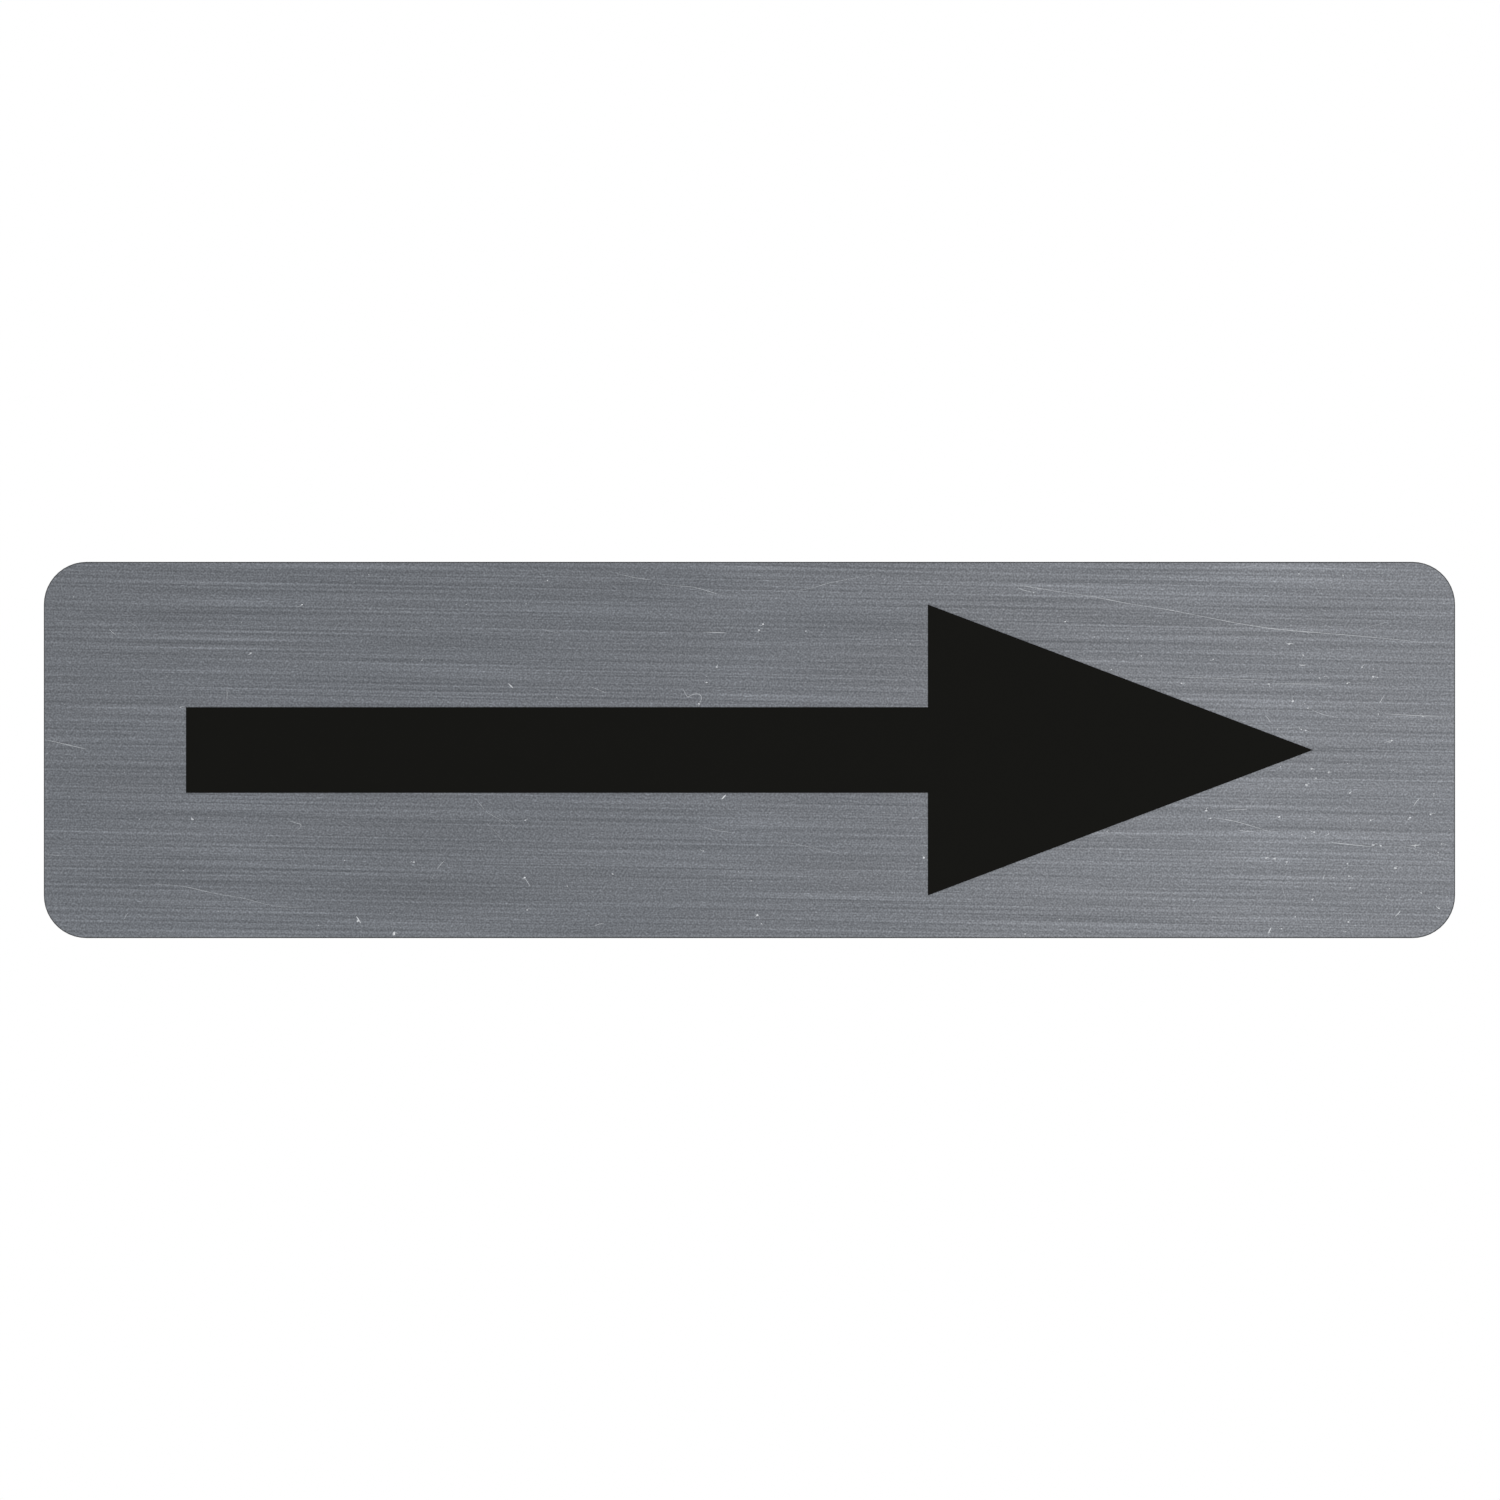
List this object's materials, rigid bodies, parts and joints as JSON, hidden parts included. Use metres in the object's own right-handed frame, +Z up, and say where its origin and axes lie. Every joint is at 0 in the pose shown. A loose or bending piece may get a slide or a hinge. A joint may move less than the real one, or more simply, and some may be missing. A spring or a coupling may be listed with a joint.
{
  "type": "arrow sign",
  "caption": "Small brushed metal plate with round corners and a black arrow on its face, stuck to a wall by foam tape at its back.",
  "frame": {"origin": "middle of the foam tape's back face, where the sign meets the wall", "axes": "+X the way the arrow points, +Y into the wall, +Z up; the face looks along -Y"},
  "size_m": [0.165, 0.0021, 0.044],
  "materials": {
    "brushed_metal": "satin",
    "black_film": "matte",
    "foam_tape": "matte"
  },
  "bodies": {
    "root": {"sign_plate": "brushed_metal", "arrow": "black_film", "mounting_tape": "foam_tape"}
  },
  "joints": []
}
